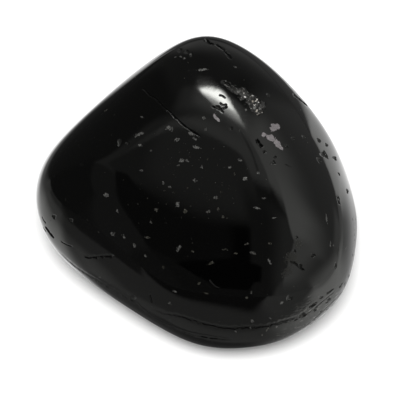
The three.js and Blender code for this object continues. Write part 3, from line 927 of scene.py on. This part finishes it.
skyPanels = {  # how bright, corners and softness in degrees from overhead: x to the right, y to the back
    "leftDeep": (0.045, [(-120, 30), (-39, 16), (-52, -26), (-120, -72)], [12, 4, 4, 8]),
    "leftRing": (0.08, [(-39, 9), (-18, -3), (-38, -31), (-52, -26)], [8, 3, 6, 3]),
    "leftRingLow": (0.08, [(-48, -23.5), (-34, -27), (-47, -46), (-90, -58)], [6, 3, 4, 3]),
    "backWall": (0.09, [(0, 2), (62, 78), (0, 140), (-60, 89)], [5, 5, 5, 8]),
    "backGlow": (0.36, [(-16, 54), (25, 47), (57, 76), (-30, 82)], [26, 18, 13, 22]),
    "rightWall": (0.22, [(11, 9), (14, -1), (126, -29), (62, 76)], [3, 2, 5, 5]),
    "rightGlow": (0.58, [(11, 8), (14, -1), (46, -2), (34, 34)], [3, 2, 36, 6]),
    "rightLow": (0.26, [(34, -6), (39, -95), (125, -80), (125, 10)], [3, 5, 5, 16]),
    "rightEdge": (0.78, [(62, -64), (120, -120), (130, 6), (89, 6)], [10, 5, 12, 15]),
    "rightEdgeBack": (0.42, [(78, -4), (130, -2), (130, 28), (76, 28)], [8, 5, 10, 8]),
    "overhead": (0.135, [(-40, 10), (6, 1), (7, -9), (-22, -6)], [3, 2, 4, 3]),
    "overheadLeft": (0.088, [(-28, 3), (-9, 2), (-8, -9), (-22, -6)], [3, 6, 3, 4]),
    "arcLeft": (0.2, [(-20, 2.4), (-6, 0.8), (-6, -0.2), (-11, -0.3)], [1.2, 2, 1, 1.2]),
    "arcMiddle": (0.28, [(-9, 0.9), (0, 2.8), (3, 0.5), (-9, -0.3)], [1.2, 2, 1, 2]),
    "arcRight": (0.34, [(-3, 2), (11, 11), (15, -1), (5, 0)], [3, 2, 1.5, 1.2]),
    "arcFoot": (0.32, [(5, 1), (15, 1), (15, -2), (6, -3)], [1, 1, 2, 1.5]),
    "darkStrip": (0.17, [(9.5, 9.5), (10.6, 9.5), (10.4, -1), (9.3, -1)], [0.8, 0.8, 0.8, 0.8]),
    "frontDark": (0.028, [(-22, -9), (3, -9), (12, -62), (-46, -44)], [3, 3, 5, 2.5]),
    "frontDarkTip": (0.028, [(-22, -4), (-15, -6), (-12, -11), (-24, -13)], [1.5, 1.5, 2, 1.5]),
    "frontLow": (0.042, [(-48, -43), (10, -50), (34, -110), (-30, -110)], [3, 14, 5, 3]),
    "sideWall": (0.17, [(4, -6), (15, -100), (40, -96), (34, -4)], [4, 5, 3, 4]),
    "sideWallDim": (0.06, [(2, -5), (13, -100), (36, -96), (17, -5)], [3, 5, 18, 4]),
    "footLight": (0.25, [(42, -58), (26, -96), (60, -130), (62, -62)], [5, 5, 5, 12]),
    "bandTop": (0.74, [(22.5, 2), (39.5, -20), (60, -24), (54, 6)], [2, 12, 34, 12]),
    "band": (0.5, [(35, -12), (39, -72), (52, -66), (60, -12)], [2, 18, 18, 10]),
    "standTop": (0.002, [(-1, -9.5), (3, -9.5), (6, -38), (-1, -38)], [1.5, 2, 3, 2]),
    "standLow": (0.002, [(-30, -50), (-1, -27), (14, -44), (17, -72)], [5, 4, 4, 4]),
    "standFoot": (0.002, [(-28, -50), (17, -60), (8, -84), (-12, -82)], [3, 3, 3, 3]),
    "lampHaze": (0.2, [(-5, 4), (8, 6), (6, 16), (-2, 15)], [6, 6, 5, 6]),
    "lampGlow": (0.45, [(1, 8), (13, 8.5), (23, 25), (8, 22.5)], [6, 5, 6, 4]),
    "lampBody": (3.9, [(5.2, 16), (7, 11.8), (14, 13.2), (16.2, 22.4)], [1.6, 5, 1.2, 1.6]),
    "lamp": (17, [(5.9, 14.9), (14, 16.5), (16, 23.7), (6.2, 16.6)], [3, 3, 1.4, 1.4]),
}

skyLevels = {"base": 0.054, "soft": 0.34}  # behind the panels, and the even light on floor and flecks


def panelGroup():  # one soft-edged panel laid over the light that is already there
    group = bpy.data.node_groups.new("softPanel", "ShaderNodeTree")
    edges = [f"Edge {i + 1}" for i in range(4)]
    sockets = {"Light": "Float", "Plan": "Vector", "Level": "Float", **dict.fromkeys(edges, "Vector")}
    for name, kind in sockets.items():
        group.interface.new_socket(name, in_out="INPUT", socket_type="NodeSocket" + kind)
    group.interface.new_socket("Light", in_out="OUTPUT", socket_type="NodeSocketFloat")
    start = addNode(group, "NodeGroupInput").outputs
    mask = 1.0
    for edge in edges:
        across = addVector(group, "DOT_PRODUCT", start["Plan"], start[edge])
        inside = addRamp(group, across, (0, 1))
        mask = addMaths(group, "MULTIPLY", mask, inside)
    light = addMix(group, "FLOAT", mask, start["Light"], start["Level"])
    addNode(group, "NodeGroupOutput", {"Light": light})
    layOut(group)


# Each edge is a vector, whose dot product with (x, y, 1) runs from 0 to 1 across the edge.
def panelEdges(corners, soft):
    corners = np.array(corners, float)
    following = np.roll(corners, -1, axis=0)
    area = (corners[:, 0] * following[:, 1] - following[:, 0] * corners[:, 1]).sum()
    edges = []
    for (ax, ay), (bx, by), blur in zip(corners, following, soft):
        length = math.hypot(bx - ax, by - ay) * (1 if area > 0 else -1)
        nx, ny = -(by - ay) / length, (bx - ax) / length
        edges.append((nx / blur, ny / blur, -(nx * ax + ny * ay) / blur + 0.5))
    return edges


def skyPlan(tree):  # the direction of a ray as a place on the plan
    coords = addNode(tree, "ShaderNodeTexCoord")
    x, y, z = addNode(tree, "ShaderNodeSeparateXYZ", [coords.outputs["Generated"]]).outputs
    squares = [addMaths(tree, "MULTIPLY", part, part) for part in (x, y)]
    level = addMaths(tree, "SQRT", addMaths(tree, "ADD", *squares))
    drop = addMaths(tree, "DEGREES", addMaths(tree, "ARCTAN2", level, z))
    scale = addMaths(tree, "DIVIDE", drop, addMaths(tree, "MAXIMUM", level, 0.0001))  # never by 0
    place = [addMaths(tree, "MULTIPLY", part, scale) for part in (x, y)]
    return addNode(tree, "ShaderNodeCombineXYZ", (*place, 1)).outputs[0]


def layPanels(tree, plan, light, panels):  # the panels one over the other, on the light behind them
    softPanel = bpy.data.node_groups["softPanel"]
    for level, corners, soft in panels.values():
        values = (light, plan, level, *panelEdges(corners, soft))
        light = addNode(tree, "ShaderNodeGroup", values, node_tree=softPanel).outputs["Light"]
    return light


def mirrored(tree, kind, plain, panels):  # the panels for the polish, and something plain for all else
    path = addNode(tree, "ShaderNodeLightPath")
    return addMix(tree, kind, path.outputs["Is Glossy Ray"], plain, panels)


def makeFloor():
    bpy.ops.object.select_all(action="DESELECT")
    bpy.ops.mesh.primitive_plane_add(size=floorLook["size"], location=(0, 0, 0))
    floor = bpy.context.active_object
    floor.name = "floor"
    material = bpy.data.materials.new("paleFloor")
    material.use_nodes = True
    tree = material.node_tree
    coords = addNode(tree, "ShaderNodeTexCoord").outputs["Object"]
    plan = addVector(tree, "MULTIPLY_ADD", coords, (1000, 1000, 1000), (0, 0, 1))  # x and y in mm, and 1
    # the polish sees the floor's colour painted lighter and darker by these panels: painted light and shade,
    # such as the darker floor in front
    light = layPanels(tree, plan, floorLook["open"], floorLook["panels"])
    shade = addMaths(tree, "DIVIDE", light, floorLook["lightOnFloor"])
    feed(tree, tree.nodes["Principled BSDF"], {
        "Base Color": mirrored(tree, "RGBA", floorLook["color"], shade),
        "Roughness": floorLook["roughness"],
        "Specular IOR Level": 0.0,
    })
    layOut(tree)
    floor.data.materials.append(material)


def makeSky():
    world = bpy.data.worlds.new("studioSky")
    bpy.context.scene.world = world
    world.use_nodes = True
    tree = world.node_tree
    tree.nodes.clear()
    panels = layPanels(tree, skyPlan(tree), skyLevels["base"], skyPanels)
    strength = mirrored(tree, "FLOAT", skyLevels["soft"], panels)
    background = addNode(tree, "ShaderNodeBackground", {"Color": (1, 1, 1), "Strength": strength})
    addNode(tree, "ShaderNodeOutputWorld", {"Surface": background.outputs[0]})
    layOut(tree)


overheadLight = {
    "size": 1.1,  # m across
    "power": 104,  # W
    "place": (-0.06, -1.2, 2.75),  # m
}


def makeOverheadLight():  # lights the floor and the flecks, and the polish doesn't mirror it
    data = bpy.data.lights.new("overheadPanel", "AREA")
    data.shape = "DISK"
    data.size = overheadLight["size"]
    data.energy = overheadLight["power"]
    lamp = bpy.data.objects.new("overheadPanel", data)
    lamp.location = overheadLight["place"]
    lamp.rotation_euler = lamp.location.to_track_quat("Z", "Y").to_euler()
    lamp.visible_glossy = False
    lamp.visible_camera = False
    bpy.context.scene.collection.objects.link(lamp)


camera = {
    "rise": 56,  # degrees above the floor, looking along +Y
    "distance": 222,  # mm from the point it looks at
    "aim": (0.2, -0.8),  # mm to the right and up, from the heart
    "lens": 200,
    "sensor": 36,
    "nearest": 0.01,  # m
}


def makeCamera():
    rise = math.radians(camera["rise"])
    right = Vector((1, 0, 0))
    up = Vector((0, math.sin(rise), math.cos(rise)))
    back = Vector((0, -math.cos(rise), math.sin(rise)))
    target = Vector(heart) + (right * camera["aim"][0] + up * camera["aim"][1]) * mm
    data = bpy.data.cameras.new("camera")
    data.lens = camera["lens"]
    data.sensor_width = camera["sensor"]
    data.clip_start = camera["nearest"]
    view = bpy.data.objects.new("camera", data)
    bpy.context.scene.collection.objects.link(view)
    facing = Matrix((right, up, back)).transposed().to_4x4()
    view.matrix_world = Matrix.Translation(target + back * camera["distance"] * mm) @ facing
    bpy.context.scene.camera = view


panelGroup()
makeFloor()
makeSky()
makeOverheadLight()
makeCamera()
bpy.context.scene.view_settings.view_transform = "Standard"
print("stage set")
